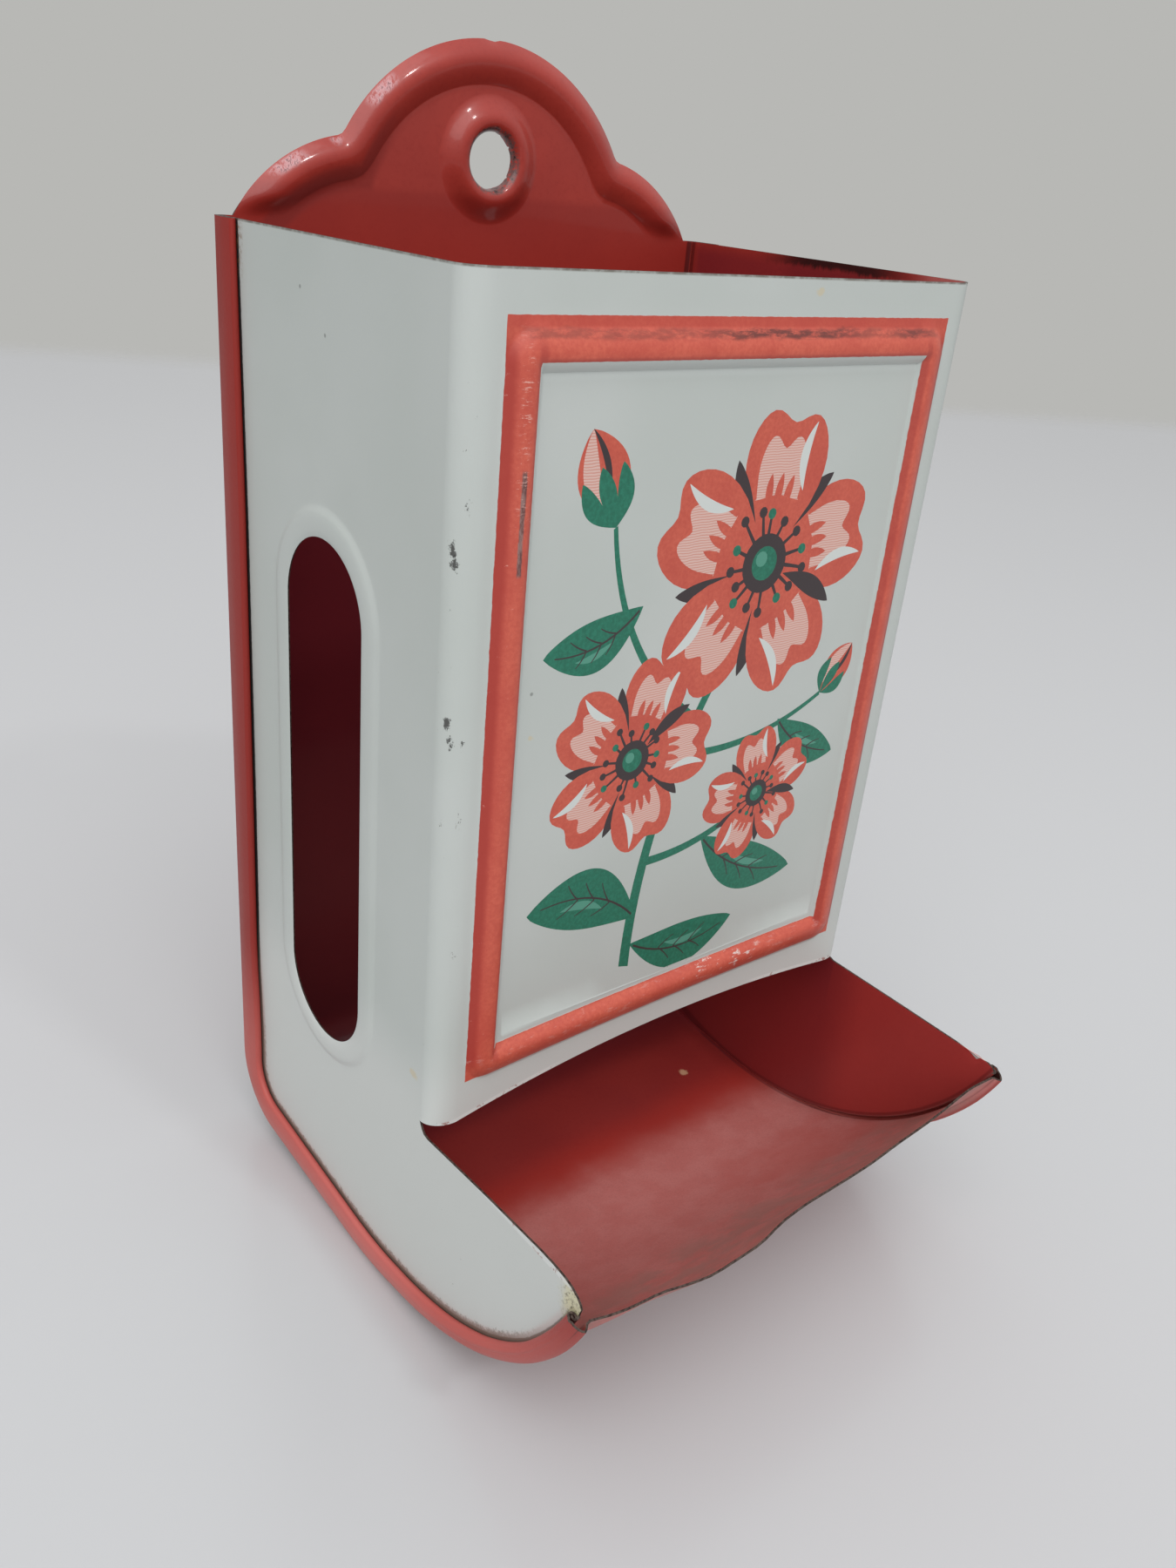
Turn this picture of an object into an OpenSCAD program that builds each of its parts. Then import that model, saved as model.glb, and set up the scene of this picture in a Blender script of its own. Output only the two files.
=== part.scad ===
// Wall-hung kitchen match holder in thin tinplate: a hopper that is open at the top,
// with an open trough at its foot where the matches come to hand.
// Two pressed sheets make it, and a folded seam down each side locks them together.
// Origin: centre of the hang hole on the back plane. Front faces -Y, up is +Z.

/* [Box] */
// Width over the two side walls
wall_w = 80; // [72:1:92]
// Depth from the back face to the front panel's face
wall_d = 55.6; // [50:0.2:62]
// Height of the flat back, from the rim down to its bend
back_h = 126; // [122:1:140]
// Thickness of the tinplate
sheet_t = 0.3; // [0.2:0.05:0.4]
// Outer radius of the two upright front corners
corner_r = 3.8; // [2:0.2:6]

/* [Trough] */
// Outer radius of the bend from back to floor
bend_r = 11.5; // [9:0.5:14]
// Downward slant of the floor, in degrees
floor_tilt = 4; // [2:0.5:6]
// Length of the slanted floor
floor_l = 25.2; // [20:0.2:30]
// Outer radius of the trough
trough_r = 53; // [46:1:58]
// Turn of the trough past its lowest line, in degrees
lip_lean = 52; // [46:1:56]
// Length of the straight lip
lip_l = 12.3; // [9:0.1:16]
// Radius of the rounded tip of each cheek
tip_r = 2.3; // [1.5:0.1:3]
// Height of the slot between front panel and cheek
slot_h = 2.4; // [1.5:0.1:4]

/* [Seam] */
// Width of the folded seam along each side
seam_w = 4.8; // [4:0.1:5.6]
// Gap between the folded layers of the seam
seam_gap = 0.13; // [0.08:0.01:0.16]

/* [Crest] */
// Radius of the middle lobe
mid_lobe_r = 26.25; // [24:0.25:28]
// Depth of the middle lobe's centre below the rim
mid_lobe_drop = 2.95; // [1.5:0.05:4]
// Radius of each side lobe
side_lobe_r = 22.55; // [21:0.05:23.5]
// Distance of each side lobe's centre from the middle
side_lobe_x = 19; // [17.5:0.1:20]
// Depth of each side lobe's centre below the rim
side_lobe_drop = 12.1; // [11:0.1:13.5]
// Width of the pressed border of the crest
border_w = 5.4; // [4:0.1:6.5]
// Height of the pressed border
border_h = 1.2; // [0.8:0.1:1.6]
// Height over which the border fades out above the rim
border_fade = 3; // [1.5:0.1:5]
// Flat margin outside the pressed border
border_edge = 0.3; // [0.2:0.05:0.6]

/* [Hang hole] */
// Diameter of the hang hole
hole_d = 7; // [5:0.1:8]
// Height of the hang hole's centre above the rim
hole_h = 8.8; // [6:0.1:10]
// Diameter of the boss round the hole at its foot
boss_d = 16; // [14:0.2:18]
// Diameter of the boss at its crown
crown_d = 10.8; // [9.8:0.1:11.6]
// Height of the boss
boss_h = 1.4; // [1:0.1:1.8]

/* [Window] */
// Width of the window in each side wall
window_w = 19; // [15:0.5:22]
// Height of the window, over its round ends
window_h = 73; // [60:1:78]
// Distance of the window's middle from the back face
window_y = 27.5; // [25:0.5:30]
// Depth of the window's top below the rim
window_top = 33.5; // [28:0.5:36]
// Width of the raised band round the window
band_w = 3.3; // [2:0.1:4]
// Height of the raised band
band_h = 0.5; // [0.3:0.05:0.8]

/* [Front frame] */
// Width of the pressed frame on the front, between the crowns of its beads
frame_w = 64.8; // [58:0.2:68]
// Depth of the frame's top bead below the rim
frame_top = 8; // [6:0.5:12]
// Height of the frame, between the crowns of its beads
frame_h = 88.4; // [76:0.4:92]
// Width of the pressed bead
bead_w = 4.2; // [3:0.1:5]
// Height of the pressed bead
bead_h = 1.1; // [0.8:0.1:1.4]
// Corner radius of the frame, at the bead's crown
frame_r = 2.6; // [2.5:0.1:6]

/* [Hidden] */
$fn = 96;
ridge_fn = 64;
bend_steps = 16;
trough_steps = 24;
tip_steps = 6;
// How far a cut runs past what it cuts, and how far two flat pieces of one sheet overlap
overrun = 1;
lap = 1;

wall_half = wall_w / 2;
// Seam layers, from the wall outwards: tray return, shell hook, tray strip
return_in = wall_half + seam_gap;
hook_out = return_in + sheet_t + seam_gap + sheet_t;
seam_half = hook_out + seam_gap + sheet_t;
hook_depth = sheet_t + seam_gap;
return_depth = hook_depth + sheet_t + seam_gap;
hook_end = seam_w - sheet_t - seam_gap;

// Side profile of the outer face, seen with the front to the right
function ray(a) = [cos(a), sin(a)];
bend_turn = 90 - floor_tilt;
trough_turn = floor_tilt + lip_lean;
bend_c = [bend_r, -back_h];
floor_start = bend_c + bend_r * ray(180 + bend_turn);
floor_end = floor_start + floor_l * ray(-floor_tilt);
trough_c = floor_end + trough_r * ray(bend_turn);
lip_start = trough_c + trough_r * ray(180 + bend_turn + trough_turn);
lip_end = lip_start + lip_l * ray(lip_lean);
bend_step = bend_turn / bend_steps;
trough_step = trough_turn / trough_steps;
tip_step = 90 / tip_steps;

function reversed(points) = [for (i = [len(points) - 1:-1:0]) points[i]];

// The same profile moved in by a depth
function inner_path(depth) = concat(
    [[depth, 0]],
    [for (i = [0:bend_steps]) bend_c + (bend_r - depth) * ray(180 + i * bend_step)],
    [for (i = [0:trough_steps]) trough_c + (trough_r - depth) * ray(180 + bend_turn + i * trough_step)],
    [lip_end + depth * ray(90 + lip_lean)]
);

tip_end = lip_end + hook_depth * ray(90 + lip_lean);
tip_c = tip_end - [tip_r, 0];
cheek_top = tip_c[1] + tip_r;
front_bottom = cheek_top + slot_h;
flat_end = wall_d - corner_r;
panel_w = wall_w - 2 * corner_r;
frame_mid = -frame_top - frame_h / 2;

// Radius of the round crown that a pressed ridge of this width and height has
function crown_r(w, h) = (w * w / 4 + h * h) / (2 * h);
border_crown = crown_r(border_w, border_h);
bead_crown = crown_r(bead_w, bead_h);
collar_r = hole_d / 2 + sheet_t;
boss_w = boss_d - crown_d;
boss_crown = crown_r(boss_w, boss_h);

// Outline of the crest, moved in by a depth: a side lobe, the middle lobe, a side lobe.
// The cusps lie where the circles cross.
border_rows = 10;
side_steps = 10;
mid_steps = 26;
lobe_drop = side_lobe_drop - mid_lobe_drop;
lobe_gap = norm([side_lobe_x, lobe_drop]);
gap_a = atan2(-lobe_drop, side_lobe_x);
function cusp_a(depth) =
    let (m = mid_lobe_r - depth, s = side_lobe_r - depth)
    acos((lobe_gap * lobe_gap + m * m - s * s) / (2 * lobe_gap * m)) + gap_a;
function mid_point(depth, a) = [0, -mid_lobe_drop] + (mid_lobe_r - depth) * ray(a);
function side_row(depth) =
    let (
        centre = [side_lobe_x, -side_lobe_drop],
        r = side_lobe_r - depth,
        from_a = asin(side_lobe_drop / r),
        cusp = mid_point(depth, cusp_a(depth)) - centre,
        to_a = atan2(cusp[1], cusp[0])
    )
    [for (i = [0:side_steps - 1]) centre + r * ray(from_a + (to_a - from_a) * i / side_steps)];
function mid_row(depth) =
    let (from_a = cusp_a(depth), turn = 180 - 2 * from_a)
    [for (i = [0:mid_steps]) mid_point(depth, from_a + turn * i / mid_steps)];
function crest_row(depth) =
    let (right = side_row(depth))
    concat(right, mid_row(depth), [for (p = reversed(right)) [-p[0], p[1]]]);

// Height of the pressed border at a depth, and how it fades out towards the rim
function border_rise(depth) =
    let (off = depth - border_edge - border_w / 2)
    abs(off) < border_w / 2 ? sqrt(border_crown * border_crown - off * off) - border_crown + border_h : 0;
function fade(up) = let (s = min(1, max(0, up / border_fade))) s * s * (3 - 2 * s);
function row_depth(i) = i == 0 ? 0 : border_edge + border_w * (i - 1) / (border_rows - 1);
function crest_points(base) = [
    for (i = [0:border_rows]) for (p = crest_row(row_depth(i)))
        [p[0], p[1], base + border_rise(row_depth(i)) * fade(p[1])]
];

// Side profile space (forward, up, across) into the part's own axes
module from_profile() {
    rotate([90, 0, -90]) children();
}

// Front view space (across, up, forward) into the part's own axes
module from_front() {
    rotate([90, 0, 0]) children();
}

module both_sides() {
    children();
    mirror([1, 0, 0]) children();
}

// One layer of sheet that follows the side profile between two depths, from one place
// across to another
module layer(from_depth, to_depth, from_x, to_x) {
    translate([0, 0, from_x]) linear_extrude(to_x - from_x)
        polygon(concat(inner_path(from_depth), reversed(inner_path(to_depth))));
}

// The tray's edge: a strip round the wall's edge, folded back between wall and shell hook
module tray_edge() {
    layer(0, seam_w, seam_half - sheet_t, seam_half);
    layer(seam_w - sheet_t, seam_w, return_in, seam_half);
    layer(return_depth, seam_w, return_in, return_in + sheet_t);
}

// The shell's edge: a flange turned outwards, then hooked forward inside the tray's strip
module shell_edge() {
    layer(hook_depth, hook_depth + sheet_t, wall_half - sheet_t / 2, hook_out);
    layer(hook_depth, hook_end, hook_out - sheet_t, hook_out);
}

// Round cross-section of a pressed ridge; inset is 0 outside and the sheet's thickness inside
module ridge(crown, h, inset) {
    intersection() {
        translate([0, sheet_t + h - crown]) circle(crown - inset, $fn = ridge_fn);
        translate([-crown, inset == 0 ? sheet_t / 2 : -overrun]) square(crown * 2 + h);
    }
}

// The crest's sheet with its pressed border, from the cut edge in to the flat field
module crest_sheet() {
    n = 2 * side_steps + mid_steps + 1;
    mid = (border_rows + 1) * n;
    back = mid + 1;
    last = n - 1;
    quads = [
        for (r = [0:border_rows - 1]) for (i = [0:last - 1])
            [r * n + i, (r + 1) * n + i, (r + 1) * n + i + 1, r * n + i + 1]
    ];
    fan = [for (i = [0:last - 1]) [border_rows * n + i, mid, border_rows * n + i + 1]];
    chain = concat(
        [for (r = [0:border_rows]) r * n], [mid], [for (r = [border_rows:-1:0]) r * n + last]
    );
    foot = [
        for (i = [0:len(chain) - 2]) [chain[i], back + chain[i], back + chain[i + 1], chain[i + 1]]
    ];
    edge = [for (i = [0:last - 1]) [i, i + 1, back + i + 1, back + i]];
    rear = [for (q = quads) [back + q[0], back + q[3], back + q[2], back + q[1]]];
    polyhedron(
        concat(crest_points(sheet_t), [[0, 0, sheet_t]], crest_points(0), [[0, 0, 0]]),
        concat(
            [for (q = concat(quads, rear, foot, edge)) each [[q[0], q[1], q[2]], [q[0], q[2], q[3]]]],
            fan,
            [for (t = fan) [back + t[0], back + t[2], back + t[1]]]
        ),
        convexity = 4
    );
    translate([-side_lobe_x, -lap, 0]) cube([2 * side_lobe_x, 2 * lap, sheet_t]);
}

// Ring that is pressed up round the hang hole; its hollow stops at the collar in the hole
module boss(inset) {
    translate([0, hole_h, 0]) rotate_extrude() intersection() {
        translate([crown_d / 2, 0]) ridge(boss_crown, boss_h, inset);
        translate([inset == 0 ? hole_d / 4 : collar_r, -overrun]) square(boss_d);
    }
}

module crest() {
    from_front() difference() {
        union() {
            crest_sheet();
            boss(0);
        }
        boss(sheet_t);
        translate([0, hole_h, -overrun]) cylinder(d = hole_d, h = boss_h + sheet_t + 2 * overrun);
    }
}

module back_tray() {
    color("firebrick") translate([0, 0, -hole_h]) {
        from_profile() layer(0, sheet_t, -seam_half, seam_half);
        both_sides() from_profile() tray_edge();
        crest();
    }
}

// Outline with round ends, drawn round the window's middle
module window_outline(grow) {
    r = window_w / 2 + grow;
    reach = window_h / 2 - window_w / 2;
    translate([window_y, -window_top - window_h / 2]) {
        translate([-r, -reach]) square([2 * r, 2 * reach]);
        translate([0, reach]) circle(r);
        translate([0, -reach]) circle(r);
    }
}

module side_wall() {
    band_in = wall_half - sheet_t + band_h;
    difference() {
        union() {
            translate([0, 0, wall_half - sheet_t]) linear_extrude(sheet_t) polygon(concat(
                inner_path(hook_depth),
                [for (i = [1:tip_steps]) tip_c + tip_r * ray(i * tip_step)],
                [[flat_end, cheek_top], [flat_end, 0]]
            ));
            translate([0, 0, wall_half - sheet_t / 2]) linear_extrude(band_h + sheet_t / 2)
                window_outline(band_w);
        }
        translate([0, 0, wall_half - sheet_t - overrun]) linear_extrude(band_h + overrun)
            window_outline(band_w - sheet_t);
        translate([0, 0, band_in - overrun]) linear_extrude(sheet_t + 2 * overrun)
            window_outline(0);
    }
}

module front_corner() {
    translate([panel_w / 2, -flat_end, front_bottom]) rotate([0, 0, -90])
        rotate_extrude(angle = 90) translate([corner_r - sheet_t, 0]) square([sheet_t, -front_bottom]);
}

// The pressed frame: four straight beads joined by quarter turns
module frame_bead(inset) {
    run_w = frame_w - 2 * frame_r;
    run_h = frame_h - 2 * frame_r;
    translate([0, frame_mid, 0]) both_sides() for (end = [0, 1]) mirror([0, end, 0])
        translate([run_w / 2, run_h / 2, 0]) rotate_extrude(angle = 90)
            translate([frame_r, 0]) ridge(bead_crown, bead_h, inset);
    translate([0, frame_mid, 0]) both_sides() translate([frame_w / 2, -run_h / 2, 0])
        rotate([-90, 0, 0]) mirror([0, 1, 0]) linear_extrude(run_h) ridge(bead_crown, bead_h, inset);
    translate([0, frame_mid, 0]) for (end = [0, 1]) mirror([0, end, 0])
        translate([-run_w / 2, frame_h / 2, 0]) rotate([90, 0, 90]) linear_extrude(run_w)
            ridge(bead_crown, bead_h, inset);
}

module front_panel() {
    difference() {
        union() {
            translate([-panel_w / 2, front_bottom, 0]) cube([panel_w, -front_bottom, sheet_t]);
            frame_bead(0);
        }
        frame_bead(sheet_t);
    }
}

module front_shell() {
    color("gainsboro") translate([0, 0, -hole_h]) {
        both_sides() {
            from_profile() mirror([0, 0, 1]) side_wall();
            front_corner();
        }
        both_sides() from_profile() shell_edge();
        translate([0, -wall_d + sheet_t, 0]) from_front() front_panel();
    }
}

back_tray();
front_shell();
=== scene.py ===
from math import acos, asin, atan2, ceil, cos, exp, hypot, pi, radians, sin
from random import Random

import bmesh
import bpy
import numpy as np
from mathutils import Matrix, Vector
from mathutils.geometry import delaunay_2d_cdt


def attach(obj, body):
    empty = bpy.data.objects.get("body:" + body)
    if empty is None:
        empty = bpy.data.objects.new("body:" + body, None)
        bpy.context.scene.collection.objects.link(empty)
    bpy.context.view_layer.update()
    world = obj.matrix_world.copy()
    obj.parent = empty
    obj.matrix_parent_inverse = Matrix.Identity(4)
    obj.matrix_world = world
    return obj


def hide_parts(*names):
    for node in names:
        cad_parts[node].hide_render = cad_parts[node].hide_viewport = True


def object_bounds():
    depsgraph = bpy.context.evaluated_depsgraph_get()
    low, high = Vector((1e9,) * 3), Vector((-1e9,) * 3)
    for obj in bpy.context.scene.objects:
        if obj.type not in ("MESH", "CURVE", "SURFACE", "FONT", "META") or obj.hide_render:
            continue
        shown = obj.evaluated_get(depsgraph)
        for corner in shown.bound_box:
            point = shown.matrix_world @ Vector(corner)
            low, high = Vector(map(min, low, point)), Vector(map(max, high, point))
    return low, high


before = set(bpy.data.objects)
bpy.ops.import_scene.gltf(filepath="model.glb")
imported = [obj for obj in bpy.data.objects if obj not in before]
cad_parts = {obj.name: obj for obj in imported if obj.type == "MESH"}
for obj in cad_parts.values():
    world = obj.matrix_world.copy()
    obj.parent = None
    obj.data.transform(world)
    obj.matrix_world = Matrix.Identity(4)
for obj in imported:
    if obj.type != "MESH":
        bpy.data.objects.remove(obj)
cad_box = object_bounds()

# ---- Camera -----------------------------------------------------------------------
# It stands a little left of the front and looks down at the holder, as in the
# photograph. Lens and place come from the holder's own edges.
lens_right = Vector((0.77865, -0.62141, 0.08691))
lens_up = Vector((0.21177, 0.39064, 0.89585))
lens_back = Vector((-0.59064, -0.67915, 0.43577))
lens_place = Vector((-0.111452, -0.161936, 0.000267))
bpy.ops.object.camera_add()
camera = bpy.context.object
camera.data.sensor_fit = "HORIZONTAL"
camera.data.sensor_width = 36
camera.data.lens = 38.76
camera.data.clip_start = 0.01
camera.matrix_world = Matrix((
    (*[v.x for v in (lens_right, lens_up, lens_back)], lens_place.x),
    (*[v.y for v in (lens_right, lens_up, lens_back)], lens_place.y),
    (*[v.z for v in (lens_right, lens_up, lens_back)], lens_place.z),
    (0, 0, 0, 1),
))
bpy.context.scene.camera = camera

# ---- Back tray --------------------------------------------------------------------
# One pressed sheet of tinplate, lacquered red on both sides: crest, back, floor,
# trough and lip. Its side edges are folded round the edges of the other sheet.
mm = 0.001
rim_drop = 8.8  # from the hang hole's centre down to the rim; heights count from the rim
sheet_t = 0.3
mid_t = sheet_t / 2
wall_half = 40.0
back_h = 126.0
bend_r = 11.5
floor_tilt = 4
floor_l = 25.2
trough_r = 53.0
lip_lean = 65.4


def ray(degrees, reach=1.0):
    return np.array((cos(radians(degrees)), sin(radians(degrees)))) * reach


bend_c = np.array((bend_r, -back_h))
floor_start = bend_c + ray(270 - floor_tilt, bend_r)
floor_end = floor_start + ray(-floor_tilt, floor_l)
trough_c = floor_end + ray(90 - floor_tilt, trough_r)

# Stations along the outer face: (point, inward direction, distance run from the rim)
stations = [((0.0, -up), ray(0), up) for up in (0, 0.6, 2, 4, 7, *range(12, 121, 6), 124)]
run = back_h
for k in range(17):
    a = 180 + k * (90 - floor_tilt) / 16
    stations.append((bend_c + ray(a, bend_r), -ray(a), run + radians(a - 180) * bend_r))
run += radians(90 - floor_tilt) * bend_r
for k in range(1, 6):
    stations.append((floor_start + ray(-floor_tilt, floor_l * k / 5), ray(90 - floor_tilt),
                     run + floor_l * k / 5))
run += floor_l
for k in range(1, 41):
    a = 270 - floor_tilt + k * (lip_lean + floor_tilt) / 40
    stations.append((trough_c + ray(a, trough_r), -ray(a),
                     run + radians(a - 270 + floor_tilt) * trough_r))
run_end = stations[-1][2]


def on_profile(k, depth):
    """The point (forward, up) at a depth inside the outer face, at one station."""
    (forward, up), inward, _ = stations[k]
    return forward + inward[0] * depth, up + inward[1] * depth


# The folded strip, from the rim to the lip: (distance run, how wide), then
# (distance run, how far it stands out below the curve of the trough)
width_runs = (0, 35, 80, 105, 118, 130, 150, 172, 183, 191, 199, 207, 213, 217.5, 223, 233)
widths = (5.65, 6.1, 5.85, 5.5, 6.1, 5.9, 5.3, 4.8, 4.3, 3.5, 2.6, 1.8, 1.45, 1.3, 1.5, 1.8)
bulge_runs = (182, 193, 203, 216, 226, run_end)
bulges = (0, 0.7, 1.3, 1.75, 1.6, 1.3)
squeeze_runs, squeezes = (0, 90), (0.7, 1.0)
# The thin lip, from left to right: how far it has been pushed outwards
lip_across = (-40, -36, -33, -29, -26, -22, -18, -13, -9, -4, 2, 9, 16, 24, 29, 34, 40)
lip_bowed = (0.2, 1.2, 1.6, 1.8, 2.5, 3.2, 3.1, 3.0, 2.1, 1.7, 1.7, 1.6, 1.1, 0.7, 0.2, -0.3, 0)
bow_fade = 30  # the push has faded this far back from the lip
bow_ease = 1.5


def seam_width(k):
    return float(np.interp(stations[k][2], width_runs, widths))


def seam_bulge(k):
    return float(np.interp(stations[k][2], bulge_runs, bulges))


def seam_squeeze(k):
    """The folded layers are pressed flatter towards the rim."""
    return float(np.interp(stations[k][2], squeeze_runs, squeezes))


def lip_bow(x, k):
    near = max(0.0, 1 - (run_end - stations[k][2]) / bow_fade)
    eased = [np.interp(x + s * bow_ease, lip_across, lip_bowed) for s in (-1, -0.5, 0, 0.5, 1)]
    return float(sum(eased) / 5) * near * near


def wrapped_grid(name, across, along, place):
    """A grid primitive, wrapped so that place(column, row) gives each point in mm.

    A fourth number is kept as the point's nearness to the seam.
    """
    bpy.ops.object.select_all(action="DESELECT")
    bpy.ops.mesh.primitive_grid_add(x_subdivisions=across - 1, y_subdivisions=along - 1, size=2)
    sheet = bpy.context.object
    sheet.name = name
    for v in sheet.data.vertices:
        column = round((v.co.x + 1) / 2 * (across - 1))
        row = round((v.co.y + 1) / 2 * (along - 1))
        x, y, z, *near = place(column, row)
        v.co = x * mm, y * mm, (z - rim_drop) * mm
        if near:
            kept = sheet.data.attributes
            seam = kept.get("seam") or kept.new("seam", "FLOAT", "POINT")
            seam.data[v.index].value = near[0]
    return sheet


def welded(name, sheets):
    """Joins pieces of one sheet where their edges meet."""
    bpy.ops.object.select_all(action="DESELECT")
    for sheet in sheets:
        sheet.select_set(True)
    bpy.context.view_layer.objects.active = sheets[0]
    bpy.ops.object.join()
    bpy.ops.object.mode_set(mode="EDIT")
    bpy.ops.mesh.select_mode(type="VERT")
    bpy.ops.mesh.select_all(action="SELECT")
    bpy.ops.mesh.remove_doubles(threshold=0.01 * mm)
    bpy.ops.object.mode_set(mode="OBJECT")
    sheets[0].name = sheets[0].data.name = name
    return sheets[0]


def fill_flat(sheet, belongs):
    """Closes the flat gap between open edges whose two ends both belong to it."""
    bpy.ops.object.mode_set(mode="EDIT")
    bpy.ops.mesh.select_mode(type="EDGE")
    bpy.ops.mesh.select_all(action="DESELECT")
    edit = bmesh.from_edit_mesh(sheet.data)
    for edge in edit.edges:
        if len(edge.link_faces) < 2:
            ends = [v.co / mm for v in edge.verts]
            edge.select_set(all(belongs(p.x, p.y, p.z + rim_drop) for p in ends))
    bmesh.update_edit_mesh(sheet.data)
    bpy.ops.mesh.fill(use_beauty=True)
    bpy.ops.object.mode_set(mode="OBJECT")


def given_thickness(sheet, finishes, inside, edge, outward):
    """Turns a bare sheet the right way round and gives it its thickness and shading."""
    for finish in finishes:
        sheet.data.materials.append(finish)
    bpy.ops.object.select_all(action="DESELECT")
    sheet.select_set(True)
    bpy.context.view_layer.objects.active = sheet
    bpy.ops.object.mode_set(mode="EDIT")
    bpy.ops.mesh.select_all(action="SELECT")
    bpy.ops.mesh.normals_make_consistent(inside=False)
    bpy.ops.object.mode_set(mode="OBJECT")
    if sum(p.area * p.normal.dot(outward(p.center)) for p in sheet.data.polygons) < 0:
        sheet.data.flip_normals()
    thick = sheet.modifiers.new("thickness", "SOLIDIFY")
    thick.thickness = sheet_t * mm
    thick.offset = 0
    thick.material_offset = inside
    thick.material_offset_rim = edge
    bpy.ops.object.modifier_apply(modifier=thick.name)
    bpy.ops.object.shade_smooth_by_angle(angle=radians(38))
    even = sheet.modifiers.new("even shading", "WEIGHTED_NORMAL")
    even.keep_sharp = True
    bpy.ops.object.modifier_apply(modifier=even.name)


# Crest: a side lobe, the middle lobe and a side lobe, with a pressed border
mid_lobe = (0.0, -2.95, 26.25)
side_lobe = (19.0, -12.1, 22.55)
crown_in = 2.45
foot_in = 5.25
border_h = 1.2
border_fade = 3.0
depths = [0.0, 0.15, 0.35, *(crown_in * k / 8 for k in range(2, 8)),
          *(crown_in + (foot_in - crown_in) * k / 12 for k in range(13)), 6.0]


def lobe_row(depth, side_steps=26, mid_steps=64):
    """Outline of the crest moved in by a depth, from its right foot to its left foot."""
    m, s = mid_lobe[2] - depth, side_lobe[2] - depth
    drop = side_lobe[1] - mid_lobe[1]
    gap = hypot(side_lobe[0], drop)
    cusp_a = acos((gap * gap + m * m - s * s) / (2 * gap * m)) + atan2(drop, side_lobe[0])
    cusp = m * cos(cusp_a), mid_lobe[1] + m * sin(cusp_a)
    start, end = asin(-side_lobe[1] / s), atan2(cusp[1] - side_lobe[1], cusp[0] - side_lobe[0])
    side = [(side_lobe[0] + s * cos(a), side_lobe[1] + s * sin(a))
            for a in np.linspace(start, end, side_steps + 1)[:-1]]
    middle = [(m * cos(a), mid_lobe[1] + m * sin(a))
              for a in np.linspace(cusp_a, pi - cusp_a, mid_steps + 1)]
    line = np.array(side + middle + [(-x, z) for x, z in reversed(side)])
    for _ in range(round(1 + depth * 2.5)):  # the die rounds the cusps, more so further in
        line[1:-1] = line[1:-1] / 2 + (line[:-2] + line[2:]) / 4
    line[:, 1] -= 0.3 * max(0.0, 1 - depth / 0.9) * np.exp(-((line[:, 0] + 0.3) / 0.8) ** 2)
    return [tuple(map(float, p)) for p in line]


def lobe_depth(x, z):
    """How far a point of the crest lies inside the outline."""
    return max(mid_lobe[2] - hypot(x, z - mid_lobe[1]),
               side_lobe[2] - hypot(abs(x) - side_lobe[0], z - side_lobe[1]))


def border_rise(depth, up):
    """The border climbs from the cut edge to its crown and drops steeply to its foot."""
    if depth < crown_in:
        lift = sin(pi / 2 * depth / crown_in)
    else:
        lift = 1 - min(1.0, (depth - crown_in) / (foot_in - crown_in)) ** 1.6
    grow = min(1.0, max(0.0, up / border_fade))
    return border_h * lift * grow * grow * (3 - 2 * grow)


crest_rows = [lobe_row(d) for d in depths]


def crest_place(column, row):
    x, z = crest_rows[row][column]
    return x, -mid_t - border_rise(depths[row], z), max(z, 0.0)


crest = wrapped_grid("crest", len(crest_rows[0]), len(depths), crest_place)

# Boss: the sheet rolls up out of the hole, over a round crown and down to the field
boss_profile = [(3.62, 0.05), (3.7, 0.42), (3.82, 0.8), (4.02, 1.14), (4.35, 1.38), (4.7, 1.49),
                (5.0, 1.51), (5.35, 1.45), (5.7, 1.32), (6.1, 1.12), (6.5, 0.88), (6.9, 0.64),
                (7.3, 0.43), (7.65, 0.28), (7.95, 0.19), (8.15, mid_t), (8.3, mid_t)]
boss_steps = 96
torn = Random(5)
knots = [torn.uniform(-0.08, 0.2) for _ in range(14)]
ragged = np.interp(np.arange(boss_steps), np.linspace(0, boss_steps, 15), knots + knots[:1])
ragged[[8, 21, 47]] += 0.25  # short tears


def boss_place(column, row):
    r, h = boss_profile[row]
    a = 2 * pi * column / boss_steps
    if row < 2:
        r += float(ragged[column % boss_steps]) * (1 - row * 0.6)
        h += float(ragged[(column + 30) % boss_steps]) * (1 - row * 0.5)
    return r * cos(a), -h, rim_drop + r * sin(a)


boss = wrapped_grid("boss", boss_steps + 1, len(boss_profile), boss_place)

# Across the tray: flat field, rounded corner, strip, fold and the return inside it
foot_x = [crest_rows[k][0][0] for k in range(len(depths))]
flat_x = (*np.linspace(0, foot_x[-1], 16)[:-1], *reversed(foot_x), 39.0)
half_section = [("flat", x) for x in flat_x]
half_section += [("corner", a) for a in np.linspace(0.15, pi / 2, 8)]
half_section += [("strip", t) for t in (0.14, 0.28, 0.42, 0.56, 0.7, 0.85, 1.0)]
half_section += [("fold", a) for a in np.linspace(0, pi, 9)[1:]]
half_section += [("return", t) for t in (0.5, 1.0)]
section = [(-1, *part) for part in reversed(half_section[1:])]
section += [(1, *part) for part in half_section]


strip_out, return_out = 1.14, 0.28  # how far the fold's two layers stand out from the wall
strip_bend = 1.9
strip_crown = 0.16
swell_from, swell_over = 39.2, 1.2  # where the floor begins to swell out towards the strip


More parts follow.
